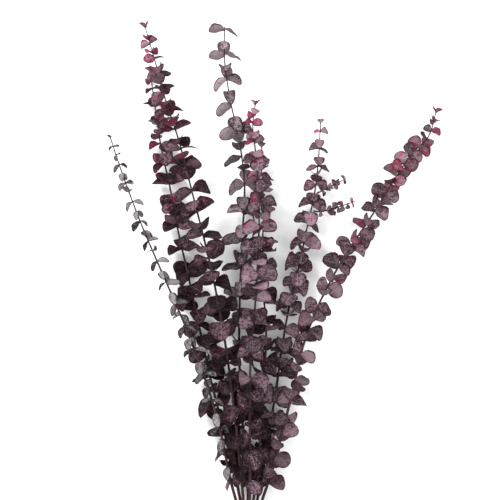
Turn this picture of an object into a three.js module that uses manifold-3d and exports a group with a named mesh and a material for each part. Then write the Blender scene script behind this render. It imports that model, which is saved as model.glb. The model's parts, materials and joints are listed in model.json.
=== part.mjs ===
// A bunch of dried, dyed eucalyptus lying on a table: eight sprigs, bound near their cut ends and
// fanned out towards their tips. A sprig is a woody stem with stalkless leaves in opposite pairs, each
// pair a quarter turn from the last. Millimetres; +Y runs from the cut ends to the tips, +Z is up.
import * as THREE from "three";
import { mergeVertices } from "three/addons/utils/BufferGeometryUtils.js";
import Module from "manifold-3d";

const wasm = await Module();
wasm.setup();

// Overall sizes. The routes below are drawn for a fan of DRAWN_LENGTH by DRAWN_WIDTH and are stretched
// to these.
const FAN_LENGTH = 506; // lowest leaves to the longest tip
const FAN_WIDTH = 363; // between the outermost tips
const DRAWN_LENGTH = 506;
const DRAWN_WIDTH = 363;

// Gaps and walls
const GAP = 0.35; // between any two pieces
const SHEATH_WALL = 0.8; // the clasping leaf bases, drawn as a thin sleeve round the stem
const LEAF_ROOT = 0.12; // how deep in the sleeve's wall a leaf begins, from its inside
const TOUCHING = 1e-4; // less common volume than this needs no cut
const FLOOR_BAND = 3; // leaves bend over within this height of the table
const STEM_SIDES = 5;
const STATION = 60; // longest straight stretch of a drawn stem

// Stems
const STEM_BASE_RADIUS = 1.9;
const STEM_TIP_RADIUS = 0.6;
const CUT_LENGTH = 60; // binding to cut ends
const CUT_STAGGER = 5; // how unevenly the ends are cut
const CUT_SPLAY = 1.3; // how much wider the bundle is at its cut ends

// Binding: turns of twine round the neck of the bunch
const TWINE_DIAMETER = 2;
const TWINE_TURNS = 4;
const BINDING_BELOW_LEAVES = 58;
const BINDING_SLACK = 0.15; // what the ring's flats come in by
const BINDING_SEGMENTS = 16;
const TURN_SECTION = [[0.55, 0.1], [1, 0.5], [0.55, 0.9]]; // out and along, in twine diameters

// Leaves
const LEAF_SCALE = 1; // all leaf lengths
const LEAF_THICKNESS = 1.2; // at the midrib; the edge is sharp
const LEAF_SIDES = 5;
const LEAF_CUP = 0.12; // depth of the hollow, as a share of the leaf's width
const INTERNODE_SCALE = 1; // all distances between pairs
const BARE_BELOW_LEAVES = 4; // leaves start this far above the fan's lower end
const TIP_MARGIN = 3;
const LEAF_STOPS = [0, 0.2, 0.6, 0.88, 1]; // where along the leafy part its leaf lengths are met
const LEAF_LOST = 0.93; // a leaf has dropped off where its random value passes this
const LEAF_FLOP = 32; // degrees by which a leaf that stands up or points down bends over
const LEAF_RISING = -0.5; // it bends towards the tip where its random value is below this
const CLOSING_FROM = 0.97; // from this share of the leafy part the pairs fold up round the bud
const CLOSED_TILT = 32; // degrees from the stem of the topmost pair
const LENGTH_SPREAD = 0.14;
const AZIMUTH_SPREAD = 14; // degrees
const TWIST_SPREAD = 30; // degrees
const SLIDE = 0.8; // how far a pressed leaf moves along its stem, as a share of what it loses sideways
const LEANING_BACK = 107.5; // degrees from the stem; past this it moves towards the cut ends
const FIRST_LAYER = 0.6; // share of the room that the most pressed leaf keeps to
const SHEATH_REACH = 2; // how far a sleeve goes past its outermost pairs
const TIP_BARE = 0.5; // what the last sleeve leaves free of the stem's end

// The neck is packed as one stem in the middle and the rest in a ring.
const RING_STEMS = 7;
const RING_TURN = 25; // degrees from sideways to the ring's first stem
const RING_RADIUS = (2 * STEM_BASE_RADIUS + GAP) / (2 * Math.sin(Math.PI / RING_STEMS));
const BINDING_INNER_RADIUS = RING_RADIUS + STEM_BASE_RADIUS + GAP + BINDING_SLACK;
const NECK = new THREE.Vector3(-2, -BINDING_BELOW_LEAVES, BINDING_INNER_RADIUS + TWINE_DIAMETER);
const NECK_HALF_LENGTH = (TWINE_TURNS * TWINE_DIAMETER) / 2 + 2;

// Each sprig: its place in the neck's ring (null is the middle), its route above the binding, leaf
// lengths at LEAF_STOPS, distances between the lowest and the topmost pairs, leaf width over length, the
// angles its leaves take (twist for the lowest and the topmost), and how many runs they are grouped into.
const SPRIGS = {
  left_thin: {
    slot: 3,
    route: [[-21, 2, 20], [-34, 66, 34], [-52, 125, 39], [-77, 189, 36], [-100, 241, 30],
      [-120, 287, 22], [-141, 342, 14], [-156, 386, 7]],
    leaf: [13, 15, 14, 11, 5.5], internode: [16, 10], width: 0.6,
    phase: 20, tilt: 110, tiltSpread: 16, twist: [25, 25], runs: 5,
  },
  left_inner: {
    slot: 4,
    route: [[-15, 2, 10], [-28, 55, 13], [-41, 105, 14], [-53, 158, 14], [-69, 233, 14],
      [-79, 277, 14], [-88, 325, 14], [-98, 370, 13], [-105, 415, 12], [-111, 459, 9]],
    leaf: [17, 22, 20, 14, 7], internode: [17.5, 9], width: 1,
    phase: 61, tilt: 88, tiltSpread: 24, twist: [52, 22], runs: 5,
  },
  left_tall: {
    slot: 2,
    route: [[-9, 2, 26], [-14, 55, 37], [-20, 106, 43], [-30, 175, 47], [-44, 245, 48],
      [-62, 317, 46], [-79, 382, 42], [-92, 421, 38], [-101, 454, 33], [-116, 506, 24]],
    leaf: [17, 23, 21, 15, 7.5], internode: [17.5, 8.5], width: 1,
    phase: 12, tilt: 86, tiltSpread: 24, twist: [52, 20], runs: 5,
  },
  centre_tall: {
    slot: 5,
    route: [[-3, 2, 10], [-7, 50, 12], [-10, 94, 14], [-12, 149, 16], [-11, 215, 19],
      [-8, 281, 24], [-6, 330, 27], [-12, 380, 28], [-21, 420, 27], [-28, 468, 21], [-28, 506, 16]],
    leaf: [17, 21, 20, 19.5, 17], internode: [17.5, 13.5], width: 0.78,
    phase: 6, tilt: 100, tiltSpread: 20, twist: [42, 30], openTip: true, runs: 5,
  },
  centre_red: {
    slot: 1,
    route: [[0, 2, 31], [0, 50, 40], [0, 94, 46], [1, 149, 50], [6, 204, 52], [9, 261, 52], [10, 308, 51],
      [7, 358, 48], [3, 393, 45], [6, 420, 42]],
    leaf: [17, 24, 20, 14.5, 7], internode: [17.5, 9.5], width: 1,
    phase: 73, tilt: 90, tiltSpread: 24, twist: [48, 36], runs: 5,
  },
  centre_short: {
    slot: null,
    route: [[7, 2, 19], [11, 48, 22], [13, 94, 24], [18, 160, 24], [15, 215, 21],
      [14, 264, 18], [15, 308, 16], [13, 347, 14], [13, 376, 12]],
    leaf: [17, 24, 20, 15, 7], internode: [17.5, 11.5], width: 1,
    phase: 35, tilt: 90, tiltSpread: 24, twist: [48, 48], runs: 5,
  },
  right_upright: {
    slot: 6,
    route: [[12, 2, 9], [22, 61, 11], [29, 105, 13], [36, 154, 14], [44, 199, 15],
      [53, 235, 16], [62, 278, 17], [72, 325, 18], [76, 364, 20], [78, 402, 22]],
    leaf: [16, 20, 18, 13, 6.5], internode: [15.5, 9], width: 1.05,
    phase: 5, tilt: 100, tiltSpread: 14, twist: [34, 46], runs: 5,
  },
  far_right: {
    slot: 0,
    route: [[20, 2, 22], [34, 53, 28], [46, 99, 30], [58, 151, 29], [72, 190, 27],
      [101, 246, 23], [135, 297, 19], [161, 338, 17], [179, 365, 16], [198, 385, 14], [207, 414, 10]],
    leaf: [17, 19, 17.5, 15.5, 7], internode: [15.5, 10], width: 1.02,
    phase: 28, tilt: 90, tiltSpread: 16, twist: [62, 62], runs: 5,
  },
};

// Side twigs: the sprig they leave, how far along its stem, and their route from there.
const TWIGS = {
  upper_twig: {
    parent: "right_upright", at: 0.842, route: [[18, 9, 3], [36, 18, 4]],
    leaf: [7, 7.5, 7, 6, 3.5], internode: [6, 5], width: 0.85,
    phase: 0, tilt: 88, tiltSpread: 20, twist: [35, 35], runs: 1,
    baseRadius: 0.9, tipRadius: 0.5, bare: 7,
  },
  lower_twig: {
    parent: "right_upright", at: 0.806, route: [[12, 0, 4], [25, 3, 6], [49, 11, 8]],
    leaf: [8, 9, 8, 6.5, 3.5], internode: [6.5, 5], width: 0.85,
    phase: 45, tilt: 88, tiltSpread: 20, twist: [35, 35], runs: 1,
    baseRadius: 0.9, tipRadius: 0.5, bare: 9,
  },
};

const BARK = new THREE.MeshStandardMaterial({ color: 0x3b2a2c, roughness: 0.85 });
const TWINE = new THREE.MeshStandardMaterial({ color: 0xb79a6b, roughness: 0.95 });
const LEAF_COLOURS = {
  left_thin: 0x6f6668, left_inner: 0x5a3a44, left_tall: 0x50303a, centre_tall: 0x81717a,
  centre_red: 0x8a4058, centre_short: 0x6b4a56, right_upright: 0x7d5d69, far_right: 0x7a5562,
  right_upright_upper_twig: 0x5d4249, right_upright_lower_twig: 0x7a4357,
};

const up = new THREE.Vector3(0, 0, 1);
const degrees = THREE.MathUtils.degToRad;

// A repeatable value from -1 to 1 for one leaf and one use of it.
function vary(sprig, leaf, use) {
  const wave = Math.sin(sprig * 12.9898 + leaf * 78.233 + use * 37.719) * 43758.5453;
  return 2 * (wave - Math.floor(wave)) - 1;
}

// A leaf length between those that a sprig has at LEAF_STOPS.
function lengthAt(lengths, t) {
  const i = Math.max(LEAF_STOPS.findIndex((stop) => stop >= t), 1);
  const share = (t - LEAF_STOPS[i - 1]) / (LEAF_STOPS[i] - LEAF_STOPS[i - 1]);
  return THREE.MathUtils.lerp(lengths[i - 1], lengths[i], share);
}

// The straight stretches of a stem through its route, with the distance from its lower end to each corner.
function lineThrough(points) {
  const curve = new THREE.CatmullRomCurve3(points);
  const corners = [points[0].clone()];
  for (let i = 1; i < points.length; i++) {
    const pieces = Math.ceil(points[i].distanceTo(points[i - 1]) / STATION);
    for (let j = 1; j <= pieces; j++) {
      corners.push(curve.getPoint((i - 1 + j / pieces) / (points.length - 1)));
    }
  }
  const along = [0];
  for (let i = 1; i < corners.length; i++) along.push(along[i - 1] + corners[i].distanceTo(corners[i - 1]));
  return { corners, along, length: along.at(-1) };
}

// The point on a line at a distance from its lower end, with the directions along it, to its side and
// upwards.
function placeOn(line, distance) {
  const last = line.corners.length - 1;
  let i = line.along.findIndex((a, k) => k > 0 && a >= distance - 1e-6);
  if (i < 0) i = last;
  const [from, to] = [line.corners[i - 1], line.corners[i]];
  const share = (distance - line.along[i - 1]) / (line.along[i] - line.along[i - 1]);
  const tangent = to.clone().sub(from).normalize();
  const atCorner = share > 1 - 1e-6 && i < last;
  if (atCorner) tangent.add(line.corners[i + 1].clone().sub(to).normalize()).normalize();
  const side = tangent.clone().cross(up).normalize();
  return { point: from.clone().lerp(to, share), tangent, side, above: side.clone().cross(tangent) };
}

function sprigRadius(sprig, distance) {
  return THREE.MathUtils.lerp(sprig.baseRadius, sprig.tipRadius, distance / sprig.line.length);
}

// A geometry with only its shared corners, which a boolean can take.
function solid(geometry) {
  geometry.deleteAttribute("normal");
  geometry.deleteAttribute("uv");
  const merged = mergeVertices(geometry, 1e-3);
  return new wasm.Manifold(new wasm.Mesh({
    numProp: 3,
    vertProperties: new Float32Array(merged.attributes.position.array),
    triVerts: new Uint32Array(merged.index.array),
  }));
}

function geometryOf(manifold) {
  const mesh = manifold.getMesh();
  return new THREE.BufferGeometry()
    .setAttribute("position", new THREE.BufferAttribute(mesh.vertProperties, 3))
    .setIndex(new THREE.BufferAttribute(mesh.triVerts, 1));
}

// A tapered rod that follows a sprig's stem between two distances, wider than the stem by extra.
function rodGeometry(sprig, from, to, extra) {
  const rows = [from, ...sprig.line.along.filter((a) => a > from + 1 && a < to - 1), to];
  const geometry = new THREE.CylinderGeometry(1, 1, 1, STEM_SIDES, rows.length - 1);
  const corners = geometry.attributes.position;
  for (let i = 0; i < corners.count; i++) {
    const distance = rows[Math.round((corners.getY(i) + 0.5) * (rows.length - 1))];
    const { point, side, above } = placeOn(sprig.line, distance);
    const radius = sprigRadius(sprig, distance) + extra;
    point.addScaledVector(side, radius * corners.getX(i)).addScaledVector(above, radius * corners.getZ(i));
    corners.setXYZ(i, ...point);
  }
  return geometry;
}

// The point of a line nearest to p.
function nearestOn(line, p) {
  let best = null;
  const stretch = new THREE.Line3();
  for (let i = 1; i < line.corners.length; i++) {
    stretch.set(line.corners[i - 1], line.corners[i]);
    const found = stretch.closestPointToPoint(p, true, new THREE.Vector3());
    if (!best || found.distanceToSquared(p) < best.distanceToSquared(p)) best = found;
  }
  return best;
}

// Moves a point of a leaf back to its own sprig's side of the half-way plane to each neighbour, sliding
// it along the stem by what it loses sideways, as a leaf bends when sprigs press on each other, and keeps
// it off the table.
function press(p, sprig, neighbours, slide, layer) {
  const own = nearestOn(sprig.line, p);
  const shift = new THREE.Vector3();
  for (const neighbour of neighbours) {
    const apart = nearestOn(neighbour.line, p).sub(own);
    const distance = apart.length();
    const reach = p.clone().sub(own).dot(apart.divideScalar(distance));
    const room = ((distance - GAP) / 2 - GAP) * layer;
    if (reach <= room) continue;
    const lost = p.clone().sub(own).multiplyScalar(1 - Math.max(room, 0) / reach);
    p.sub(lost);
    shift.addScaledVector(slide, lost.length());
  }
  p.add(shift);
  const bend = FLOOR_BAND * layer;
  if (p.z < bend) p.z = bend * Math.exp((p.z - bend) / FLOOR_BAND);
  return p;
}

// How far up a sprig its pairs of leaves grow, spread so that the topmost is at its tip.
function pairDistances(sprig) {
  const leafy = sprig.line.length - TIP_MARGIN - sprig.bare;
  const steps = [0];
  while (steps.at(-1) < leafy) {
    const internode = THREE.MathUtils.lerp(...sprig.internode, steps.at(-1) / leafy);
    steps.push(steps.at(-1) + INTERNODE_SCALE * internode);
  }
  steps.pop();
  return steps.map((step) => sprig.bare + (step * leafy) / steps.at(-1));
}

// Every leaf of a sprig, pair by pair from the lowest: where it grows and how it lies.
function leavesOf(sprig) {
  const leaves = [];
  pairDistances(sprig).forEach((distance, pair) => {
    const t = (distance - sprig.bare) / (sprig.line.length - sprig.bare);
    const closing = sprig.openTip ? 0 : THREE.MathUtils.smoothstep(t, CLOSING_FROM, 1);
    const twist = THREE.MathUtils.lerp(...sprig.twist, t);
    for (const half of [0, 1]) {
      const leaf = 2 * pair + half;
      const turn = sprig.phase + 90 * pair + 180 * half + AZIMUTH_SPREAD * vary(sprig.index, leaf, 1);
      const azimuth = degrees(turn);
      const falls = vary(sprig.index, leaf, 7) > LEAF_RISING ? 1 : -1;
      const flop = falls * LEAF_FLOP * Math.abs(Math.sin(azimuth));
      const tilt = sprig.tilt + sprig.tiltSpread * vary(sprig.index, leaf, 2) + flop;
      if (vary(sprig.index, leaf, 5) > LEAF_LOST) continue;
      leaves.push({
        pair,
        distance,
        azimuth,
        tilt: degrees(THREE.MathUtils.lerp(tilt, CLOSED_TILT, closing)),
        twist: degrees(twist + TWIST_SPREAD * vary(sprig.index, leaf, 3)) * (1 - closing),
        layer: THREE.MathUtils.lerp(FIRST_LAYER, 1, (1 + vary(sprig.index, leaf, 6)) / 2),
        length: LEAF_SCALE * lengthAt(sprig.leaf, t) * (1 + LENGTH_SPREAD * vary(sprig.index, leaf, 4)),
      });
    }
  });
  return leaves;
}

// The middle of a leaf's outline, and the way that its upper face now looks.
function layOf(outline) {
  const middle = new THREE.Vector3();
  for (const p of outline) middle.addScaledVector(p, 1 / outline.length);
  const facing = new THREE.Vector3();
  outline.forEach((p, i) => {
    const next = outline[(i + 1) % outline.length].clone().sub(middle);
    facing.add(p.clone().sub(middle).cross(next));
  });
  return { middle, facing: facing.normalize() };
}

// A leaf as a flattened round blank with a hollow upper face, grown by extra all round.
function leafGeometry(sprig, leaf, neighbours, extra) {
  const { point, tangent, side, above } = placeOn(sprig.line, leaf.distance);
  const outward = side.clone().multiplyScalar(Math.cos(leaf.azimuth))
    .addScaledVector(above, Math.sin(leaf.azimuth));
  const along = tangent.clone().multiplyScalar(Math.cos(leaf.tilt))
    .addScaledVector(outward, Math.sin(leaf.tilt));
  const lookingUp = up.clone().addScaledVector(along, -up.dot(along));
  const face = outward.clone().cross(tangent).cross(along);
  face.multiplyScalar(Math.cos(leaf.twist))
    .addScaledVector(lookingUp, Math.sin(leaf.twist) * (face.dot(lookingUp) < 0 ? -1 : 1)).normalize();
  const across = along.clone().cross(face);
  const slide = tangent.clone().multiplyScalar(leaf.tilt > degrees(LEANING_BACK) ? -SLIDE : SLIDE);

  const width = leaf.length * sprig.width;
  const base = point.clone().addScaledVector(outward, sprigRadius(sprig, leaf.distance) + GAP + LEAF_ROOT);
  const blankLength = 1 + Math.cos(Math.PI / LEAF_SIDES);
  const geometry = new THREE.SphereGeometry(1, LEAF_SIDES, 2);
  const corners = geometry.attributes.position;
  const onOutline = (i) => Math.abs(corners.getY(i)) < 0.5;
  const placed = Array.from({ length: corners.count }, (_, i) => {
    const [x, z] = [corners.getX(i), corners.getZ(i)];
    const p = base.clone()
      .addScaledVector(along, ((x + 1) / blankLength) * leaf.length)
      .addScaledVector(across, (z * width) / 2);
    return press(p, sprig, neighbours, slide, leaf.layer);
  });
  const { middle, facing } = layOf(placed.filter((_, i) => onOutline(i)).slice(0, LEAF_SIDES));
  const hollow = middle.addScaledVector(facing, -LEAF_CUP * width);
  placed.forEach((p, i) => {
    if (onOutline(i)) p.addScaledVector(p.clone().sub(hollow).normalize(), extra);
    else p.copy(hollow).addScaledVector(facing, corners.getY(i) * (LEAF_THICKNESS / 2 + extra));
    corners.setXYZ(i, ...p);
  });
  return geometry;
}

// A cut run without the leaf ends that a neighbour cuts off.
const withoutLooseEnds = (run) => run.decompose().sort((a, b) => b.volume() - a.volume())[0];

// The sprigs' lines, from the cut ends through the neck and up their routes.
const stretch = new THREE.Vector3(FAN_WIDTH / DRAWN_WIDTH, FAN_LENGTH / DRAWN_LENGTH, 1);
const sprigs = Object.entries(SPRIGS).map(([name, shape], index) => {
  const turn = degrees(RING_TURN) + (2 * Math.PI * (shape.slot ?? 0)) / RING_STEMS;
  const reach = shape.slot === null ? 0 : RING_RADIUS;
  const inNeck = (y, splay) => new THREE.Vector3(Math.cos(turn) * reach * splay, y,
    Math.sin(turn) * reach * splay).add(NECK);
  const line = lineThrough([
    inNeck(-CUT_LENGTH + CUT_STAGGER * vary(index, 0, 9), CUT_SPLAY),
    inNeck(-NECK_HALF_LENGTH, 1),
    inNeck(NECK_HALF_LENGTH, 1),
    ...shape.route.map((p) => new THREE.Vector3(...p).multiply(stretch)),
  ]);
  const lowest = nearestOn(line, new THREE.Vector3(NECK.x, BARE_BELOW_LEAVES, NECK.z));
  const firstCorner = line.corners.findLastIndex((corner) => corner.y <= lowest.y);
  const bare = line.along[firstCorner] + line.corners[firstCorner].distanceTo(lowest);
  const radii = { baseRadius: STEM_BASE_RADIUS, tipRadius: STEM_TIP_RADIUS };
  return { ...shape, ...radii, name, index, line, bare };
});

const twigs = Object.entries(TWIGS).map(([name, shape], i) => {
  const parent = sprigs.find((sprig) => sprig.name === shape.parent);
  const distance = shape.at * parent.line.length;
  const { point } = placeOn(parent.line, distance);
  const clear = sprigRadius(parent, distance) + GAP + SHEATH_WALL + GAP + shape.baseRadius;
  const route = shape.route.map((p) => new THREE.Vector3(...p));
  const line = lineThrough([route[0].clone().setLength(clear), ...route].map((p) => p.add(point)));
  return { ...shape, name: `${shape.parent}_${name}`, index: sprigs.length + i, line, parent };
});

const bunch = new THREE.Group();
const addPiece = (name, geometry, material) => {
  const mesh = new THREE.Mesh(geometry, material);
  mesh.name = name;
  bunch.add(mesh);
};

// Stems
const everySprig = [...sprigs, ...twigs];
for (const sprig of everySprig) {
  addPiece(`${sprig.name}_stem`, rodGeometry(sprig, 0, sprig.line.length, 0), BARK);
  sprig.clearance = solid(rodGeometry(sprig, -GAP, sprig.line.length + GAP, GAP));
}

// Leaves, in runs of neighbouring pairs. A later run keeps clear of the earlier ones.
const grownRuns = [];
for (const sprig of everySprig) {
  const neighbours = everySprig.filter((s) => s !== sprig && s !== sprig.parent && s.parent !== sprig);
  const leaves = leavesOf(sprig);
  const pairs = leaves.at(-1).pair + 1;
  for (let i = 0; i < sprig.runs; i++) {
    const mine = leaves.filter((leaf) => Math.floor((leaf.pair * sprig.runs) / pairs) === i);
    const from = mine[0].distance - SHEATH_REACH;
    const to = Math.min(mine.at(-1).distance + SHEATH_REACH, sprig.line.length - TIP_BARE);
    const grown = (extra) => {
      const sleeve = solid(rodGeometry(sprig, from - extra, to + extra, GAP + SHEATH_WALL + extra));
      const addLeaf = (run, leaf) => run.add(solid(leafGeometry(sprig, leaf, neighbours, extra)));
      return mine.reduce(addLeaf, sleeve.subtract(sprig.clearance));
    };
    let run = grown(0);
    for (const other of [...everySprig.map((s) => s.clearance), ...grownRuns]) {
      if (run.intersect(other).volume() > TOUCHING) run = run.subtract(other);
    }
    grownRuns.push(grown(GAP));
    const leafMaterial = new THREE.MeshStandardMaterial({
      color: LEAF_COLOURS[sprig.name],
      roughness: 0.8,
      side: THREE.DoubleSide,
    });
    const number = sprig.runs > 1 ? `_${i + 1}` : "";
    addPiece(`${sprig.name}_leaves${number}`, geometryOf(withoutLooseEnds(run)), leafMaterial);
  }
}

// Binding: the turns of twine side by side, as one ring with a bulge for each turn.
const bulges = [];
for (let turn = 0; turn < TWINE_TURNS; turn++) {
  for (const [out, along] of TURN_SECTION) {
    const y = (turn + along - TWINE_TURNS / 2) * TWINE_DIAMETER;
    bulges.push(new THREE.Vector2(BINDING_INNER_RADIUS + out * TWINE_DIAMETER, y));
  }
}
const half = (TWINE_TURNS * TWINE_DIAMETER) / 2;
const section = [
  new THREE.Vector2(BINDING_INNER_RADIUS, -half), ...bulges, new THREE.Vector2(BINDING_INNER_RADIUS, half),
];
section.push(section[0].clone());
const binding = new THREE.LatheGeometry(section, BINDING_SEGMENTS);
binding.translate(...NECK);
addPiece("twine_binding", binding, TWINE);

// The origin is the middle of the bunch's footprint, on the table.
const box = new THREE.Box3().setFromObject(bunch);
const centre = box.getCenter(new THREE.Vector3());
bunch.position.set(-centre.x, -centre.y, -box.min.z);

export default bunch;
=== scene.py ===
"""A bunch of dried, plum-dyed eucalyptus, lying on a pale surface and seen from straight above.

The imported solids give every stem's line and the place of the tie. Round those lines this script grows the
finished sprigs: bark with raised leaf scars, cupped and veined leaves in crossed pairs, and wound twine.
Lengths are in metres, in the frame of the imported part: +Y runs to the tips and +Z is up.
"""

import json
import logging
import math
from dataclasses import dataclass, field
from enum import Enum
from typing import Iterable, Sequence

import bmesh
import bpy
import numpy as np
from mathutils import Matrix, Vector

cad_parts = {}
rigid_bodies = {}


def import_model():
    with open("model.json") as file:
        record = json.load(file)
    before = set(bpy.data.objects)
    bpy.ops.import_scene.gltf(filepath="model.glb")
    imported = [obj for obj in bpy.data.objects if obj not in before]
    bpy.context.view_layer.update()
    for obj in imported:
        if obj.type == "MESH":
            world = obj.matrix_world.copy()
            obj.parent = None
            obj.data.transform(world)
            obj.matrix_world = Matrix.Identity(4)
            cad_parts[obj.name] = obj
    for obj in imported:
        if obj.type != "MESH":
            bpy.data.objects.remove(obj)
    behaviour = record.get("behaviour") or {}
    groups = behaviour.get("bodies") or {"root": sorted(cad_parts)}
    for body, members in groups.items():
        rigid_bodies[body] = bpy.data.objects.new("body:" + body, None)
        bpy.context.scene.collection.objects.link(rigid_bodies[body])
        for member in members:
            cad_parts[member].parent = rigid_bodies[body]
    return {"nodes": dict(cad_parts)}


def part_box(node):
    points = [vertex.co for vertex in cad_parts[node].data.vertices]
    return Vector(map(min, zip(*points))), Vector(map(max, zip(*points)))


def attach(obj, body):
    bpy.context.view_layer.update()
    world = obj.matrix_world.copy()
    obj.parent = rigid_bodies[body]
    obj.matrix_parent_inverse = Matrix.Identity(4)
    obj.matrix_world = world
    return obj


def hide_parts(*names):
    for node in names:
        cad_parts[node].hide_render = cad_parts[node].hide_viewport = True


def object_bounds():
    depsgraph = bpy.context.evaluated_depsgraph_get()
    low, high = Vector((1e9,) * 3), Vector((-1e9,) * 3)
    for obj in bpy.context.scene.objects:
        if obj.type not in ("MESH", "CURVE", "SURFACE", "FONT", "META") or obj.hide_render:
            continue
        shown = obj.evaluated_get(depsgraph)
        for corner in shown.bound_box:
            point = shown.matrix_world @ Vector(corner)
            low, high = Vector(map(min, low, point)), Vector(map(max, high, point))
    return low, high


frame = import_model()
CAD_LOW, CAD_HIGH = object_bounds()

log = logging.getLogger("eucalyptus")

MM = 0.001
UP = np.array([0.0, 0.0, 1.0])
Colour = tuple[float, float, float]

# How leaves sit, as in the solids
LEAF_FLOP = 32.0
LEAF_RISING = -0.5
LEAF_LOST = 0.93
LEAF_STOPS = (0.0, 0.2, 0.6, 0.88, 1.0)  # where along the leafy part a sprig's leaf lengths are met
LENGTH_SPREAD = 0.14
AZIMUTH_SPREAD = 14.0
TWIST_SPREAD = 30.0
FIRST_LAYER = 0.6
SLIDE = 0.8
TIP_MARGIN = 3 * MM
BARE_BELOW_LEAVES = 4 * MM
CLOSING_FROM = 0.97
CLOSED_TILT = 32.0
LEANING_BACK = 107.5
PRESS_GAP = 0.35 * MM
FLOOR_BAND = 3 * MM
NECK_IN_PLAN = Vector((-2 * MM, -58 * MM))  # the tie, from the middle of the lowest leaves

# What is finer here than in the solids
PRESS_SOFTNESS = 0.45  # share of a pressed leaf's reach that it keeps, as leaves overlap
BLADE_ACROSS = 6
BLADE_ALONG = 8
BLADE_THICKNESS = 0.35 * MM
STEM_SIDES = 8
STATION = 9 * MM  # between two rings of a stem where no leaves grow
NODE_HALF_LENGTH = 1.6 * MM  # of the swelling where a pair grows


def linear(hex_colour: int) -> Colour:
    """Turns a display colour such as 0x8a4058 into linear red, green and blue.

    Args:
        hex_colour: the colour as it looks on a screen.

    Returns:
        The three linear values from 0 to 1.
    """
    channels = [((hex_colour >> shift) & 255) / 255 for shift in (16, 8, 0)]
    return tuple(c / 12.92 if c <= 0.04045 else ((c + 0.055) / 1.055) ** 2.4 for c in channels)


def vary(sprig: int, leaf: int, use: int) -> float:
    """Gives a repeatable value from -1 to 1.

    Args:
        sprig: the sprig's number.
        leaf: the leaf's number on it.
        use: what the value is for.

    Returns:
        The value.
    """
    wave = math.sin(sprig * 12.9898 + leaf * 78.233 + use * 37.719) * 43758.5453
    return 2 * (wave - math.floor(wave)) - 1


def lerp(first: float, last: float, share: float) -> float:
    """Mixes two values."""
    return first + (last - first) * share


def through(values: Sequence[float], share: float) -> float:
    """Runs through values that are met at equal steps as share goes from 0 to 1."""
    return float(np.interp(share, np.linspace(0, 1, len(values)), values))


def smooth_step(low: float, high: float, value: float) -> float:
    """Rises smoothly from 0 at low to 1 at high."""
    share = min(max((value - low) / (high - low), 0.0), 1.0)
    return share * share * (3 - 2 * share)


def unit(vector: np.ndarray) -> np.ndarray:
    """Scales a vector to length one."""
    return vector / np.linalg.norm(vector)


class Graph:
    """A material's nodes, made and linked in one call each."""

    def __init__(self, name: str) -> None:
        """Starts a material with a Principled shader.

        Args:
            name: the material's name.
        """
        self.material = bpy.data.materials.new(name)
        self.material.use_nodes = True
        self.nodes = self.material.node_tree.nodes
        self.links = self.material.node_tree.links
        self.shader = self.nodes["Principled BSDF"]

    def add(self, kind: str, settings: dict | None = None, **inputs: object) -> bpy.types.Node:
        """Makes a node.

        Args:
            kind: the node's type, without its ShaderNode prefix.
            settings: properties of the node itself.
            **inputs: a value or a socket for each input, by its name with _ for each space.

        Returns:
            The node.
        """
        node = self.nodes.new("ShaderNode" + kind)
        for key, value in (settings or {}).items():
            setattr(node, key, value)
        for key, value in inputs.items():
            self.feed(node.inputs[key.replace("_", " ")], value)
        return node

    def feed(self, socket: bpy.types.NodeSocket, value: object) -> None:
        """Links a socket into an input, or sets its value.

        Args:
            socket: the input.
            value: a socket, or the value to set.
        """
        if isinstance(value, bpy.types.NodeSocket):
            self.links.new(value, socket)
        else:
            socket.default_value = value

    def math(self, operation: str, *values: object) -> bpy.types.NodeSocket:
        """Does one sum.

        Args:
            operation: the Math node's operation.
            *values: its inputs in order.

        Returns:
            The result's socket.
        """
        node = self.nodes.new("ShaderNodeMath")
        node.operation = operation
        for socket, value in zip(node.inputs, values):
            self.feed(socket, value)
        return node.outputs[0]

    def mix(
        self, share: object, first: object, second: object, blend: str = "MIX"
    ) -> bpy.types.NodeSocket:
        """Mixes two colours.

        Args:
            share: how much of the second, from 0 to 1.
            first: a colour or a socket.
            second: a colour or a socket.
            blend: the Mix node's blend type.

        Returns:
            The mixed colour's socket.
        """
        node = self.nodes.new("ShaderNodeMix")
        node.data_type = "RGBA"
        node.blend_type = blend
        node.clamp_factor = True
        self.feed(node.inputs[0], share)
        for socket, value in zip((node.inputs[6], node.inputs[7]), (first, second)):
            self.feed(socket, (*value, 1.0) if isinstance(value, tuple) else value)
        return node.outputs[2]

    def ramp(self, value: object, low: float, high: float) -> bpy.types.NodeSocket:
        """Maps low..high to 0..1 smoothly."""
        smooth = {"interpolation_type": "SMOOTHSTEP"}
        return self.add("MapRange", smooth, Value=value, From_Min=low, From_Max=high).outputs[0]

    def noise(
        self, vector: object, scale: float, detail: float = 2.0, rough: float = 0.5
    ) -> bpy.types.NodeSocket:
        """Makes a noise pattern from 0 to 1."""
        node = self.add("TexNoise", None, Vector=vector, Scale=scale, Detail=detail, Roughness=rough)
        return node.outputs[0]

    def bump(self, height: object, strength: float, distance: float) -> None:
        """Raises the surface by a height pattern."""
        node = self.add("Bump", None, Height=height, Strength=strength, Distance=distance)
        self.links.new(node.outputs[0], self.shader.inputs["Normal"])


class Side(Enum):
    """The two faces of a leaf."""

    UPPER = "upper"
    UNDER = "under"


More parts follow.
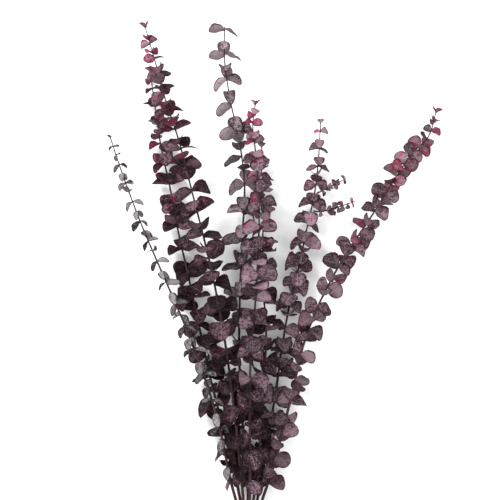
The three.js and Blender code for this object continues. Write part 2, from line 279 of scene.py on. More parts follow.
@dataclass(frozen=True)
class LeafFinish:
    """Dyed and dried leaf: pale specks over a dark ground, blotches of dye, a dark edge and fine veins."""

    ground: Colour = linear(0x3E2A32)
    specks: Colour = linear(0xA3929B)
    dye: Colour = linear(0x86183C)
    dyed_specks: Colour = linear(0xC77696)
    edge: Colour = linear(0x1E0E14)
    vein: Colour = linear(0x927C86)
    edge_depth: float = 0.8

    def material(self, name: str, side: Side) -> bpy.types.Material:
        """Makes the finish for one face of the leaves.

        Args:
            name: the material's name.
            side: which face it is for.

        Returns:
            The material.
        """
        graph = Graph(f"{name}_{side.value}")
        place = graph.add("TexCoord").outputs["Object"]
        leaf_map = graph.add("UVMap", {"uv_map": "leaf"}).outputs[0]
        split = graph.add("SeparateXYZ", None, Vector=leaf_map)
        off_middle = graph.math("ABSOLUTE", graph.math("MULTIPLY_ADD", split.outputs[0], 2.0, -1.0))
        along = split.outputs[1]
        # per-leaf dye, blush and brightness; the brightness holds painted shade on leaves low in the bunch
        tint = graph.add("Attribute", {"attribute_name": "tint"})
        shares = graph.add("SeparateColor", None, Color=tint.outputs["Color"])
        wine, blush, light = shares.outputs[0], shares.outputs[1], shares.outputs[2]

        patch = graph.noise(place, 110.0, 3.0, 0.55)
        blotch = graph.noise(place, 260.0, 2.0, 0.5)
        stipple = graph.noise(place, 720.0, 3.0, 0.75)
        dust = graph.noise(place, 2600.0, 2.0, 0.6)

        veins = self.veins(graph, off_middle, along, blotch)
        rim = graph.math("MAXIMUM", graph.ramp(off_middle, 0.72, 0.97), graph.ramp(along, 0.87, 0.98))
        ragged = graph.math("MULTIPLY", rim, graph.math("MULTIPLY_ADD", patch, 1.8, 0.1))

        cover = graph.math("MULTIPLY_ADD", blotch, 0.55, stipple)
        cover = graph.math("MULTIPLY_ADD", dust, 0.25, cover)
        cover = graph.math("MULTIPLY_ADD", veins, 0.22, cover)
        cover = graph.math("MULTIPLY_ADD", wine, -0.33, cover)
        speckled = graph.ramp(cover, 0.6, 0.9)
        reach = graph.math("MULTIPLY_ADD", graph.math("SUBTRACT", patch, 0.5), 2.2, blush)
        reach = graph.math("MULTIPLY_ADD", ragged, 0.3, reach)
        dyed = graph.ramp(reach, 0.3, 0.62)
        under = graph.mix(dyed, self.ground, self.dye)
        over = graph.mix(dyed, graph.mix(veins, self.specks, self.vein), self.dyed_specks)
        colour = graph.mix(speckled, under, over)
        # the brightness share scales the colour: painted shade darkens leaves low in the bunch
        gain = graph.math("MULTIPLY", light, 1.04 if side is Side.UNDER else 0.96)
        scaled = graph.add("VectorMath", {"operation": "SCALE"}, Vector=colour, Scale=gain)
        edged = graph.math("MULTIPLY", ragged, self.edge_depth)
        graph.feed(graph.shader.inputs["Base Color"], graph.mix(edged, scaled.outputs[0], self.edge))
        graph.feed(graph.shader.inputs["Roughness"], graph.math("MULTIPLY_ADD", stipple, 0.3, 0.5))
        graph.shader.inputs["Specular IOR Level"].default_value = 0.12
        relief = graph.math("MULTIPLY_ADD", veins, 0.8 if side is Side.UNDER else -0.6, stipple)
        graph.bump(relief, 0.7, 0.3 * MM)
        return graph.material

    def veins(
        self,
        graph: Graph,
        off_middle: bpy.types.NodeSocket,
        along: bpy.types.NodeSocket,
        waver: bpy.types.NodeSocket,
    ) -> bpy.types.NodeSocket:
        """Draws the midrib and the side veins that leave it towards the tip.

        Args:
            graph: the material's nodes.
            off_middle: the distance from the midrib, from 0 to 1 at the edge.
            along: the distance from the leaf's base, from 0 to 1 at the tip.
            waver: a noise that bends the side veins.

        Returns:
            The veins, from 0 to 1.
        """
        rib = graph.math("MULTIPLY", graph.math("SUBTRACT", 1.0, graph.ramp(off_middle, 0.01, 0.08)), 0.7)
        fan = graph.math("MULTIPLY_ADD", off_middle, -0.6, along)
        bent = graph.math("MULTIPLY_ADD", waver, 0.2, fan)
        lines = graph.math("SINE", graph.math("MULTIPLY", bent, 46.0))
        inner = graph.ramp(off_middle, 0.95, 0.3)
        side_veins = graph.math("MULTIPLY", graph.ramp(lines, 0.6, 1.0), inner)
        return graph.math("MAXIMUM", rib, graph.math("MULTIPLY", side_veins, 0.6))


@dataclass(frozen=True)
class BarkFinish:
    """Thin dark bark with a lengthwise grain, and the paler wood where a stem is cut."""

    dark: Colour = linear(0x241719)
    light: Colour = linear(0x5A3F40)
    wood: Colour = linear(0xB79C7D)
    pith: Colour = linear(0x7C5F46)

    def bark(self) -> bpy.types.Material:
        """Makes the bark."""
        graph = Graph("bark")
        place = graph.add("TexCoord").outputs["Object"]
        drawn_out = graph.add("Mapping", None, Vector=place, Scale=(1.0, 0.12, 1.0)).outputs[0]
        grain = graph.noise(drawn_out, 1800.0, 4.0, 0.65)
        patches = graph.noise(place, 90.0, 2.0, 0.5)
        specks = graph.add("TexVoronoi", None, Vector=place, Scale=900.0).outputs["Distance"]
        patchy = graph.math("MULTIPLY_ADD", patches, 0.9, 0.2)
        share = graph.math("MULTIPLY", graph.ramp(grain, 0.35, 0.75), patchy)
        colour = graph.mix(share, self.dark, self.light)
        dots = graph.math("SUBTRACT", 0.5, graph.ramp(specks, 0.0, 0.25))
        colour = graph.mix(dots, colour, self.light)
        graph.feed(graph.shader.inputs["Base Color"], colour)
        graph.feed(graph.shader.inputs["Roughness"], graph.math("MULTIPLY_ADD", grain, 0.3, 0.55))
        graph.shader.inputs["Specular IOR Level"].default_value = 0.15
        graph.bump(grain, 0.6, 0.2 * MM)
        return graph.material

    def cut_wood(self) -> bpy.types.Material:
        """Makes the cut end's wood."""
        graph = Graph("cut_wood")
        place = graph.add("TexCoord").outputs["Object"]
        fibres = graph.noise(place, 3500.0, 2.0, 0.6)
        stain = graph.noise(place, 700.0, 2.0, 0.5)
        colour = graph.mix(graph.ramp(fibres, 0.3, 0.7), self.pith, self.wood)
        colour = graph.mix(graph.math("MULTIPLY", stain, 0.5), colour, self.pith)
        graph.feed(graph.shader.inputs["Base Color"], colour)
        graph.feed(graph.shader.inputs["Roughness"], graph.math("MULTIPLY_ADD", fibres, 0.2, 0.7))
        graph.bump(fibres, 0.5, 0.1 * MM)
        return graph.material


@dataclass(frozen=True)
class TwineFinish:
    """Natural jute with loose fibres along its twist."""

    pale: Colour = linear(0xC7AC7C)
    dark: Colour = linear(0x7E6238)

    def material(self) -> bpy.types.Material:
        """Makes the twine's finish."""
        graph = Graph("jute")
        place = graph.add("TexCoord").outputs["Object"]
        fibres = graph.noise(place, 2600.0, 4.0, 0.7)
        shade = graph.noise(place, 320.0, 2.0, 0.5)
        shaded = graph.math("MULTIPLY", shade, 0.3)
        share = graph.math("MULTIPLY_ADD", graph.ramp(fibres, 0.3, 0.7), 0.7, shaded)
        graph.feed(graph.shader.inputs["Base Color"], graph.mix(share, self.dark, self.pale))
        graph.feed(graph.shader.inputs["Roughness"], graph.math("MULTIPLY_ADD", fibres, 0.15, 0.8))
        graph.shader.inputs["Sheen Weight"].default_value = 0.3
        graph.bump(fibres, 0.7, 0.3 * MM)
        return graph.material


def mesh_object(
    name: str, bm: bmesh.types.BMesh, materials: Iterable[bpy.types.Material]
) -> bpy.types.Object:
    """Turns a bmesh into a smooth-shaded object at the origin.

    Args:
        name: the object's name.
        bm: its mesh, which is freed.
        materials: its finishes, in slot order.

    Returns:
        The object.
    """
    mesh = bpy.data.meshes.new(name)
    for face in bm.faces:
        face.smooth = True
    bm.to_mesh(mesh)
    bm.free()
    for material in materials:
        mesh.materials.append(material)
    made = bpy.data.objects.new(name, mesh)
    bpy.context.scene.collection.objects.link(made)
    return made


@dataclass
class StemLine:
    """The line of a stem, from its lower end to its tip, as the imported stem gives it."""

    corners: np.ndarray
    radii: np.ndarray
    along: np.ndarray = field(init=False)

    def __post_init__(self) -> None:
        """Measures how far each corner is from the lower end."""
        steps = np.linalg.norm(np.diff(self.corners, axis=0), axis=1)
        self.along = np.concatenate([[0.0], np.cumsum(steps)])

    @classmethod
    def of_node(cls, node: str, start: np.ndarray) -> "StemLine":
        """Reads the line from a packed stem, ring by ring.

        Args:
            node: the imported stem's name.
            start: a point near its lower end.

        Returns:
            The line.
        """
        points = np.array([v.co for v in frame["nodes"][node].data.vertices])
        first = points[np.argmin(np.linalg.norm(points - start, axis=1))]
        last = points[np.argmax(np.linalg.norm(points - first, axis=1))]
        reach = (points - first) @ unit(last - first)
        order = np.argsort(reach)
        points, reach = points[order], reach[order]
        breaks = np.flatnonzero(np.diff(reach) > 3.5 * MM) + 1
        rings = [np.unique(ring.round(6), axis=0) for ring in np.split(points, breaks)]
        centres, radii = [], []
        for ring in rings:
            middle = ring.mean(axis=0)
            distances = np.linalg.norm(ring - middle, axis=1)
            centres.append(middle)
            radii.append(distances.max())
        return cls(np.array(centres), np.array(radii))

    @property
    def length(self) -> float:
        """The length from end to end."""
        return float(self.along[-1])

    def radius(self, distance: float) -> float:
        """The stem's radius at a distance from its lower end."""
        return float(np.interp(distance, self.along, self.radii))

    def point(self, distance: float) -> np.ndarray:
        """Gives the point at a distance from the lower end, on a smooth curve through the corners.

        Args:
            distance: the distance.

        Returns:
            The point.
        """
        last = len(self.corners) - 1
        i = int(np.clip(np.searchsorted(self.along, distance, side="right") - 1, 0, last - 1))
        span = self.along[i + 1] - self.along[i]
        share = (distance - self.along[i]) / span
        start = self.slope(i) * span
        end = self.slope(i + 1) * span
        square, cube = share * share, share**3
        return (
            (2 * cube - 3 * square + 1) * self.corners[i]
            + (cube - 2 * square + share) * start
            + (3 * square - 2 * cube) * self.corners[i + 1]
            + (cube - square) * end
        )

    def slope(self, i: int) -> np.ndarray:
        """The direction of the curve at a corner."""
        before, after = max(i - 1, 0), min(i + 1, len(self.corners) - 1)
        return (self.corners[after] - self.corners[before]) / (self.along[after] - self.along[before])

    def axes(self, distance: float) -> tuple[np.ndarray, np.ndarray, np.ndarray]:
        """Gives the directions along the stem, to its side and upwards.

        Args:
            distance: the distance from the lower end.

        Returns:
            The three directions.
        """
        step = 0.5 * MM
        tangent = unit(self.point(min(distance + step, self.length)) - self.point(max(distance - step, 0.0)))
        side = unit(np.cross(tangent, UP))
        return tangent, side, np.cross(side, tangent)

    def nearest(self, points: np.ndarray) -> np.ndarray:
        """Gives the line's nearest point to each of some points.

        Args:
            points: the points, one a row.

        Returns:
            The nearest points, one a row.
        """
        starts, runs = self.corners[:-1], np.diff(self.corners, axis=0)
        shares = ((points[:, None] - starts) * runs).sum(2) / (runs * runs).sum(1)
        found = starts + np.clip(shares, 0, 1)[..., None] * runs
        best = ((found - points[:, None]) ** 2).sum(2).argmin(1)
        return found[np.arange(len(points)), best]

    def distance_at(self, y: float) -> float:
        """The distance from the lower end at which the stem reaches a place along the bunch."""
        return float(np.interp(y, self.corners[:, 1], self.along))


@dataclass
class Leaf:
    """One leaf: where it grows, how it lies, how it is dyed, and its brightness, in which painted shade
    darkens leaves low in the bunch.
    """

    number: int
    pair: int
    distance: float
    azimuth: float
    tilt: float
    twist: float
    layer: float
    length: float
    width: float
    wine: float
    blush: float
    # brightness of the leaf's colour: lower towards the sprig's base as painted shade inside the bunch, and
    # spread at random as tone
    light: float


@dataclass
class Sprig:
    """A stem with its leaves in crossed pairs."""

    name: str
    index: int
    leaf: tuple[float, float, float, float, float]
    internode: tuple[float, float]
    width: float
    phase: float
    tilt: float
    tilt_spread: float
    twist: tuple[float, float]
    wine: tuple[float, float, float]
    blush: tuple[float, float, float]
    # brightness of the leaves at the base, middle and tip of the leafy part: lower at the base as painted
    # shade inside the bunch
    light: tuple[float, float, float]
    finish: LeafFinish = LeafFinish()
    open_tip: bool = False
    runs: int = 5
    bare: float | None = None
    parent: str | None = None
    line: StemLine = field(init=False)

    @property
    def stem_node(self) -> str:
        """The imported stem's name."""
        return f"{self.name}_stem"

    def leaf_nodes(self) -> list[str]:
        """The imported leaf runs' names, from the lowest."""
        if self.runs == 1:
            return [f"{self.name}_leaves"]
        return [f"{self.name}_leaves_{run + 1}" for run in range(self.runs)]

    def read_line(self, start: np.ndarray, leaves_from: float) -> None:
        """Reads the stem's line and where its leaves begin.

        Args:
            start: a point near the stem's lower end.
            leaves_from: the place along the bunch where the lowest leaves grow.
        """
        self.line = StemLine.of_node(self.stem_node, start)
        if self.bare is None:
            self.bare = self.line.distance_at(leaves_from)

    def leaves(self) -> list[Leaf]:
        """Works out every leaf, pair by pair from the lowest.

        Returns:
            The leaves.
        """
        made: list[Leaf] = []
        for pair, distance in enumerate(self.pair_distances()):
            share = (distance - self.bare) / (self.line.length - self.bare)
            for half in (0, 1):
                number = 2 * pair + half
                if vary(self.index, number, 5) <= LEAF_LOST:
                    made.append(self.one_leaf(number, pair, half, distance, share))
        return made

    def pair_distances(self) -> list[float]:
        """Works out how far up the stem each pair grows.

        Returns:
            The distances, spread so that the topmost pair is at the tip.
        """
        leafy = self.line.length - TIP_MARGIN - self.bare
        steps = [0.0]
        while steps[-1] < leafy:
            steps.append(steps[-1] + MM * lerp(*self.internode, steps[-1] / leafy))
        steps.pop()
        return [self.bare + step * leafy / steps[-1] for step in steps]

    def one_leaf(self, number: int, pair: int, half: int, distance: float, share: float) -> Leaf:
        """Works out one leaf.

        Args:
            number: the leaf's number on the sprig.
            pair: the pair's number.
            half: 0 or 1, its side of the stem.
            distance: how far up the stem it grows.
            share: the same as a share of the leafy part.

        Returns:
            The leaf.
        """
        chance = [vary(self.index, number, use) for use in range(12)]
        azimuth = math.radians(self.phase + 90 * pair + 180 * half + AZIMUTH_SPREAD * chance[1])
        closing = 0.0 if self.open_tip else smooth_step(CLOSING_FROM, 1, share)
        flop = LEAF_FLOP * abs(math.sin(azimuth)) * (1 if chance[7] > LEAF_RISING else -1)
        tilt = lerp(self.tilt + self.tilt_spread * chance[2] + flop, CLOSED_TILT, closing)
        length = MM * float(np.interp(share, LEAF_STOPS, self.leaf)) * (1 + LENGTH_SPREAD * chance[4])
        return Leaf(
            number=number,
            pair=pair,
            distance=distance,
            azimuth=azimuth,
            tilt=math.radians(tilt),
            twist=math.radians(lerp(*self.twist, share) + TWIST_SPREAD * chance[3]) * (1 - closing),
            layer=lerp(FIRST_LAYER, 1, (1 + chance[6]) / 2),
            length=length,
            width=length * self.width * (1 + 0.08 * chance[8]),
            wine=through(self.wine, share) + 0.35 * chance[9],
            blush=through(self.blush, share) + 0.3 * chance[10],
            # painted shade: the brightness falls towards the base of the leafy part, deep in the bunch; its
            # random spread is tone
            light=through(self.light, share) * (1 + 0.45 * chance[11]),
        )

    def build_stem(self, bark: bpy.types.Material, wood: bpy.types.Material) -> bpy.types.Object:
        """Makes the stem, a little thicker at each pair of leaves.

        Args:
            bark: the bark's finish.
            wood: the cut end's finish.

        Returns:
            The stem.
        """
        nodes = sorted({leaf.distance for leaf in self.leaves()})
        stations = set(np.arange(0, self.line.length - 4 * MM, STATION)) | {self.line.length}
        for node in nodes:
            stations |= {node - NODE_HALF_LENGTH, node, node + NODE_HALF_LENGTH}
        stations = sorted(s for s in stations if 0 <= s <= self.line.length)
        kept = [stations[0]]
        for station in stations[1:]:
            if station - kept[-1] > 0.7 * MM:
                kept.append(station)
        bm = bmesh.new()
        rounds = bmesh.ops.create_circle(
            bm, segments=STEM_SIDES, radius=1.0, matrix=self.ring(kept[0], nodes)
        )
        edges = list({edge for vert in rounds["verts"] for edge in vert.link_edges})
        foot = edges
        before = self.ring(kept[0], nodes)
        for station in kept[1:]:
            grown = bmesh.ops.extrude_edge_only(bm, edges=edges)["geom"]
            edges = [part for part in grown if isinstance(part, bmesh.types.BMEdge)]
            verts = [part for part in grown if isinstance(part, bmesh.types.BMVert)]
            now = self.ring(station, nodes)
            bmesh.ops.transform(bm, matrix=now @ before.inverted(), verts=verts)
            before = now
        cut = bmesh.ops.contextual_create(bm, geom=foot)["faces"]
        tip = bmesh.ops.contextual_create(bm, geom=edges)["faces"]
        bmesh.ops.recalc_face_normals(bm, faces=bm.faces)
        for face in cut:
            face.material_index = 1
        bmesh.ops.inset_region(bm, faces=cut + tip, thickness=0.15 * MM, depth=0.0)
        made = mesh_object(f"{self.name}_woody_stem", bm, (bark, wood))
        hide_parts(self.stem_node)
        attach(made, "root")
        log.info("%s: %d rings", made.name, len(kept))
        return made

    def ring(self, distance: float, nodes: Sequence[float]) -> Matrix:
        """Places and sizes the stem's round section.

        Args:
            distance: how far up the stem it is.
            nodes: where the pairs of leaves grow.

        Returns:
            The matrix from a unit circle to the section.
        """
        tangent, side, above = self.line.axes(distance)
        nearest = min((abs(distance - node) for node in nodes), default=1.0)
        swell = 1 + 0.28 * max(0.0, 1 - nearest / (1.5 * MM))
        radius = self.line.radius(distance) * swell * (1 + 0.06 * vary(self.index, int(distance / MM), 20))
        turn = Matrix([[*row] for row in np.column_stack([side, above, -tangent])]).to_4x4()
        place = Matrix.Translation(Vector(self.line.point(distance)))
        return place @ turn @ Matrix.Diagonal((radius, radius, 1, 1))

    def build_foliage(self, neighbours: Sequence["Sprig"]) -> list[bpy.types.Object]:
        """Makes the leaves, one piece for each packed run.

        Args:
            neighbours: the sprigs that these leaves press on.

        Returns:
            The pieces.
        """
        finishes = [self.finish.material(f"{self.name}_leaf", side) for side in (Side.UPPER, Side.UNDER)]
        leaves = self.leaves()
        pairs = leaves[-1].pair + 1
        pieces = []
        for run, node in enumerate(self.leaf_nodes()):
            bm = bmesh.new()
            bm.loops.layers.uv.new("leaf")
            bm.verts.layers.float_color.new("tint")
            mine = [leaf for leaf in leaves if leaf.pair * self.runs // pairs == run]
            for leaf in mine:
                self.add_blade(bm, leaf, neighbours)
            made = mesh_object(node.replace("leaves", "foliage"), bm, (*finishes, finishes[0]))
            solid = made.modifiers.new("thickness", "SOLIDIFY")
            solid.thickness = BLADE_THICKNESS
            solid.offset = 0.0
            solid.material_offset = 1
            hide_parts(node)
            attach(made, "root")
            pieces.append(made)
            log.info("%s: %d leaves", made.name, len(mine))
        return pieces

    def add_blade(self, bm: bmesh.types.BMesh, leaf: Leaf, neighbours: Sequence["Sprig"]) -> None:
        """Adds one leaf's blade: a grid drawn in to the leaf's outline, cupped and bent.

        Args:
            bm: the run's mesh.
            leaf: the leaf.
            neighbours: the sprigs that it presses on.
        """
        point = self.line.point(leaf.distance)
        tangent, side, above = self.line.axes(leaf.distance)
        outward = math.cos(leaf.azimuth) * side + math.sin(leaf.azimuth) * above
        along = math.cos(leaf.tilt) * tangent + math.sin(leaf.tilt) * outward
        looking_up = UP - along * (UP @ along)
        face = np.cross(np.cross(outward, tangent), along)
        lean = -1 if face @ looking_up < 0 else 1
        face = unit(math.cos(leaf.twist) * face + lean * math.sin(leaf.twist) * looking_up)
        across = np.cross(along, face)
        slide = tangent * (-SLIDE if leaf.tilt > math.radians(LEANING_BACK) else SLIDE)
        base = point + outward * self.line.radius(leaf.distance) * 0.55

        chance = [vary(self.index, leaf.number, use) for use in range(30, 36)]
        cup = 0.16 + 0.14 * chance[0]
        recurve = 0.10 + 0.20 * chance[1]
        ripple = 0.05 + 0.03 * chance[2]
        skew = 0.12 * chance[3]
        pointed = 0.46 + 0.10 * chance[4]

        grid = bmesh.ops.create_grid(
            bm, x_segments=BLADE_ACROSS, y_segments=BLADE_ALONG, size=1.0
        )["verts"]
        flat = np.array([vert.co[:2] for vert in grid])
        u = flat[:, 0]
        v = 0.5 - 0.5 * np.cos(np.pi * (flat[:, 1] + 1) / 2)
        outline = np.sin(np.pi * v**0.9) ** pointed
        outline = np.maximum(outline, 0.09 * (1 - v)) * (v < 0.999)
        half = leaf.width / 2 * outline
        rise = cup * leaf.width * (u * outline) ** 2 * 1.6
        rise -= recurve * leaf.length * v**2
        rise += ripple * leaf.width * np.sin(3.1 * np.pi * v + 3 * chance[5]) * u * np.abs(u) * outline
        curl = skew * leaf.length * v**2
        points = (
            base
            + along * (leaf.length * v)[:, None]
            + across * (u * half + curl)[:, None]
            + face * rise[:, None]
        )
        points = self.press(points, neighbours, slide, leaf.layer)
        tint = bm.verts.layers.float_color["tint"]
        shade = (min(max(leaf.wine, 0), 1), min(max(leaf.blush, 0), 1), max(leaf.light, 0.2), 1.0)
        for vert, place in zip(grid, points):
            vert.co = place
            vert[tint] = shade
        faces = {found for vert in grid for found in vert.link_faces}
        leaf_map = bm.loops.layers.uv["leaf"]
        where = {vert: (0.5 + 0.5 * a, b) for vert, a, b in zip(grid, u, v)}
        for found in faces:
            for loop in found.loops:
                loop[leaf_map].uv = where[loop.vert]
        tip = [vert for vert, b in zip(grid, v) if b > 0.999]
        bmesh.ops.remove_doubles(bm, verts=tip, dist=0.2 * MM)

    def press(
        self, points: np.ndarray, neighbours: Sequence["Sprig"], slide: np.ndarray, layer: float
    ) -> np.ndarray:
        """Bends a leaf back from the sprigs that it meets, and off the table.

        Args:
            points: the leaf's points, one a row.
            neighbours: the other sprigs.
            slide: which way along the stem it gives way.
            layer: how far it gives way compared with other leaves.

        Returns:
            The bent points.
        """
        own = self.line.nearest(points)
        shift = np.zeros_like(points)
        for neighbour in neighbours:
            apart = neighbour.line.nearest(points) - own
            distance = np.linalg.norm(apart, axis=1)
            reach = ((points - own) * apart).sum(1) / distance
            room = np.maximum(((distance - PRESS_GAP) / 2 - PRESS_GAP) * layer, 0.0)
            over = reach > room
            kept = np.where(over, (room + (reach - room) * PRESS_SOFTNESS) / np.where(over, reach, 1.0), 1.0)
            lost = (points - own) * (1 - kept)[:, None]
            points = points - lost
            shift += slide * np.linalg.norm(lost, axis=1)[:, None]
        points = points + shift
        bend = FLOOR_BAND * layer
        low = points[:, 2] < bend
        points[low, 2] = bend * np.exp((points[low, 2] - bend) / FLOOR_BAND)
        return points


@dataclass
class Tie:
    """Turns of twisted twine round the neck of the bunch."""

    node: str = "twine_binding"
    turns: int = 4
    twine: float = 2 * MM
    steps: int = 30
    plies: int = 3

    def build(self, finish: TwineFinish) -> bpy.types.Object:
        """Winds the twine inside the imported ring's space.

        Args:
            finish: the twine's finish.

        Returns:
            The twine.
        """
        low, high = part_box(self.node)
        middle = (low + high) / 2
        loop = (high.x - low.x) / 2 - self.twine / 2
        width = high.y - low.y - self.twine
        bm = bmesh.new()
        count = self.turns * self.steps
        before = self.section(0.0, middle, loop, width)
        rounds = bmesh.ops.create_circle(bm, segments=self.plies * 3, radius=1.0)
        for vert in rounds["verts"]:
            lobe = math.atan2(vert.co.y, vert.co.x) * self.plies
            vert.co *= 0.86 + 0.14 * math.cos(lobe)
        bmesh.ops.transform(bm, matrix=before, verts=rounds["verts"])
        edges = list({edge for vert in rounds["verts"] for edge in vert.link_edges})
        foot = edges
        for step in range(1, count + 1):
            grown = bmesh.ops.extrude_edge_only(bm, edges=edges)["geom"]
            edges = [part for part in grown if isinstance(part, bmesh.types.BMEdge)]
            verts = [part for part in grown if isinstance(part, bmesh.types.BMVert)]
            now = self.section(step / count, middle, loop, width)
            bmesh.ops.transform(bm, matrix=now @ before.inverted(), verts=verts)
            before = now
        bmesh.ops.contextual_create(bm, geom=foot)
        bmesh.ops.contextual_create(bm, geom=edges)
        bmesh.ops.recalc_face_normals(bm, faces=bm.faces)
        made = mesh_object("wound_twine", bm, (finish.material(),))
        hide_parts(self.node)
        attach(made, "root")
        log.info("%s: %d turns", made.name, self.turns)
        return made

    def section(self, share: float, middle: Vector, loop: float, width: float) -> Matrix:
        """Places the twine's section along its winding.

        Args:
            share: how far along the twine it is, from 0 to 1.
            middle: the middle of the tie.
            loop: the radius of a turn.
            width: the distance from the first turn to the last.

        Returns:
            The matrix from a unit circle to the section.
        """
        angle = 2 * math.pi * self.turns * share + 1.2
        tucked = 0.6 * self.twine * (smooth_step(0.02, 0.0, share) + smooth_step(0.98, 1.0, share))
        reach = loop - tucked
        place = middle + Vector((math.cos(angle) * reach, (share - 0.5) * width, math.sin(angle) * reach))
        turned = Matrix.Rotation(-angle, 4, "Y") @ Matrix.Rotation(share * self.turns * 14, 4, "Z")
        radius = self.twine / 2
        return Matrix.Translation(place) @ turned @ Matrix.Diagonal((radius, radius, 1, 1))


@dataclass
class Studio:
    """The pale floor, the soft lights and the camera above them."""

    view_width: float = 550 * MM  # what the camera sees across, at the height of the leaves
    view_middle: float = 258.5 * MM  # from the lowest leaves to the middle of the view
    camera_height: float = 2.4

    def build(self, neck: Vector) -> None:
        """Sets up the floor, lights and camera.

        Args:
            neck: the middle of the tie.
        """
        origin = Vector((neck.x, neck.y)) - NECK_IN_PLAN
        scene = bpy.context.scene
        self.build_floor()
        self.build_lights()
        data = bpy.data.cameras.new("camera")
        data.lens = data.sensor_width * (self.camera_height - 0.03) / self.view_width
        data.clip_end = 20
        camera = bpy.data.objects.new("camera", data)
        camera.location = (origin.x, origin.y + self.view_middle, self.camera_height)
        scene.collection.objects.link(camera)
        scene.camera = camera
        scene.view_settings.view_transform = "Standard"
        log.info("camera %.2f m above the surface", self.camera_height)

    def build_floor(self) -> None:
        """Lays the pale floor."""
        bm = bmesh.new()
        bmesh.ops.create_grid(bm, x_segments=1, y_segments=1, size=6.0)
        graph = Graph("pale_floor")
        place = graph.add("TexCoord").outputs["Object"]
        tooth = graph.noise(place, 260.0, 2.0, 0.5)
        colour = graph.mix(tooth, (0.93, 0.93, 0.93), (0.96, 0.96, 0.96))
        graph.feed(graph.shader.inputs["Base Color"], colour)
        graph.shader.inputs["Roughness"].default_value = 0.95
        graph.shader.inputs["Specular IOR Level"].default_value = 0.1
        floor = mesh_object("floor", bm, (graph.material,))

    def build_lights(self) -> None:
        """Hangs a broad soft light overhead and fills from all round."""
        world = bpy.data.worlds.new("studio")
        world.use_nodes = True
        world.node_tree.nodes["Background"].inputs["Color"].default_value = (1.0, 1.0, 1.0, 1.0)
        world.node_tree.nodes["Background"].inputs["Strength"].default_value = 1.35
        bpy.context.scene.world = world
        for name, place, size, power in (
            ("key", (-1.0, 1.1, 1.5), 0.9, 40.0),
            ("fill", (1.2, -0.8, 1.6), 1.4, 10.0),
        ):
            light = bpy.data.lights.new(name, "AREA")
            light.size = size
            light.energy = power
            lamp = bpy.data.objects.new(name, light)
            lamp.location = place
            lamp.rotation_euler = (-Vector(place)).to_track_quat("-Z", "Y").to_euler()
            bpy.context.scene.collection.objects.link(lamp)


ASH = LeafFinish(
    ground=linear(0x1E1A1B), specks=linear(0x827C7E), dye=linear(0x38202A), vein=linear(0x8C8788)
)
MAUVE = LeafFinish(
    ground=linear(0x281A20), specks=linear(0x93838A), dye=linear(0x742440), dyed_specks=linear(0x9A5470)
)
PLUM = LeafFinish(
    ground=linear(0x1E0C14), specks=linear(0x775A65), dye=linear(0x640E28), dyed_specks=linear(0x8C3A52),
    vein=linear(0x7C606B)
)
ROSE = LeafFinish(
    ground=linear(0x26121B), specks=linear(0x8B717D), dye=linear(0x701A36), dyed_specks=linear(0x984462)
)
WINE_EDGED = LeafFinish(
    ground=linear(0x24131A), specks=linear(0x7E666F), dye=linear(0x5E122A), dyed_specks=linear(0x883850),
    edge=linear(0x2A0814)
)


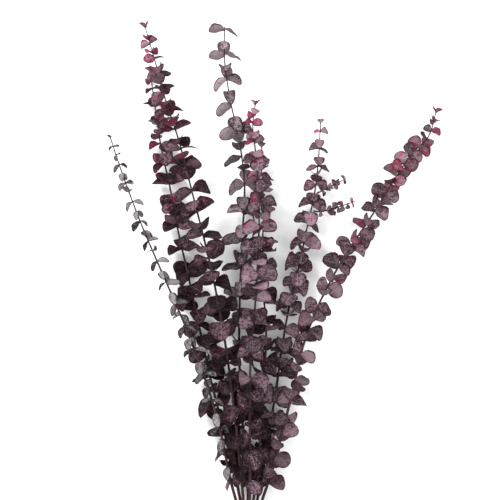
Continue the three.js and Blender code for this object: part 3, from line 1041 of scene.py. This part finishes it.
def sprigs() -> list[Sprig]:
    """Lists the sprigs and side twigs, numbered as in the solids.

    Returns:
        The sprigs.
    """
    return [
        # The three tuples before each finish give dye, blush and brightness at the base, middle and tip of
        # the leafy part; brightness lower at the base is painted shade inside the bunch.
        Sprig("left_thin", 0, (13, 15, 14, 11, 5.5), (16, 10), 0.6, 20, 110, 16, (25, 25),
              (0.6, 0.45, 0.55), (-0.9, -0.9, -0.9), (0.7, 0.9, 0.8), ASH),
        Sprig("left_inner", 1, (17, 22, 20, 14, 7), (17.5, 9), 1.0, 61, 88, 24, (52, 22),
              (0.9, 0.8, 0.4), (-0.4, -0.2, 0.45), (0.5, 0.62, 1.0), PLUM),
        Sprig("left_tall", 2, (17, 23, 21, 15, 7.5), (17.5, 8.5), 1.0, 12, 86, 24, (52, 20),
              (0.9, 0.8, 0.4), (-0.4, -0.2, 0.5), (0.5, 0.62, 1.0), PLUM),
        Sprig("centre_tall", 3, (17, 21, 20, 19.5, 17), (17.5, 13.5), 0.78, 6, 100, 20, (42, 30),
              (0.8, 0.45, 0.3), (-0.5, -0.5, -0.5), (0.55, 0.75, 0.9), MAUVE, True),
        Sprig("centre_red", 4, (17, 24, 20, 14.5, 7), (17.5, 9.5), 1.0, 73, 90, 24, (48, 36),
              (0.8, 0.5, 0.3), (-0.3, -0.2, 0.6), (0.6, 0.75, 1.0), ROSE),
        Sprig("centre_short", 5, (17, 24, 20, 15, 7), (17.5, 11.5), 1.0, 35, 90, 24, (48, 48),
              (0.9, 0.7, 0.4), (-0.2, -0.2, 0.1), (0.5, 0.65, 0.9), ROSE),
        Sprig("right_upright", 6, (16, 20, 18, 13, 6.5), (15.5, 9), 1.05, 5, 100, 14, (34, 46),
              (0.65, 0.5, 0.35), (-0.5, -0.2, 0.1), (0.55, 0.75, 0.95), ROSE),
        Sprig("far_right", 7, (17, 19, 17.5, 15.5, 7), (15.5, 10), 1.02, 28, 90, 16, (62, 62),
              (0.5, 0.4, 0.4), (-0.5, 0.0, 0.45), (0.65, 0.75, 0.8), WINE_EDGED),
        Sprig("right_upright_upper_twig", 8, (7, 7.5, 7, 6, 3.5), (6, 5), 0.85, 0, 88, 20, (35, 35),
              (0.5, 0.4, 0.4), (-0.2, 0.0, 0.0), (0.8, 0.8, 0.8), ROSE, False, 1, 7 * MM, "right_upright"),
        Sprig("right_upright_lower_twig", 9, (8, 9, 8, 6.5, 3.5), (6.5, 5), 0.85, 45, 88, 20, (35, 35),
              (0.4, 0.3, 0.4), (0.1, 0.2, 0.2), (0.8, 0.8, 0.8), ROSE, False, 1, 9 * MM, "right_upright"),
    ]


def main() -> None:
    """Builds the bunch, then the studio round it."""
    logging.basicConfig(level=logging.INFO, format="%(name)s: %(message)s")
    tie = Tie()
    low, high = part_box(tie.node)
    neck = (low + high) / 2
    foot = np.array([neck.x, CAD_LOW.y, neck.z])
    origin_y = neck.y - NECK_IN_PLAN.y
    every = sprigs()
    for sprig in every:
        start = foot
        if sprig.parent is not None:
            box_low, box_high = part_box(sprig.stem_node)
            start = np.array([box_low.x, (box_low.y + box_high.y) / 2, box_low.z])
        sprig.read_line(start, origin_y + BARE_BELOW_LEAVES)
    bark_finish = BarkFinish()
    bark, wood = bark_finish.bark(), bark_finish.cut_wood()
    for sprig in every:
        sprig.build_stem(bark, wood)
        neighbours = [
            other for other in every
            if other is not sprig and other.name != sprig.parent and other.parent != sprig.name
        ]
        sprig.build_foliage(neighbours)
    tie.build(TwineFinish())
    Studio().build(neck)


if __name__ == "__main__":
    main()
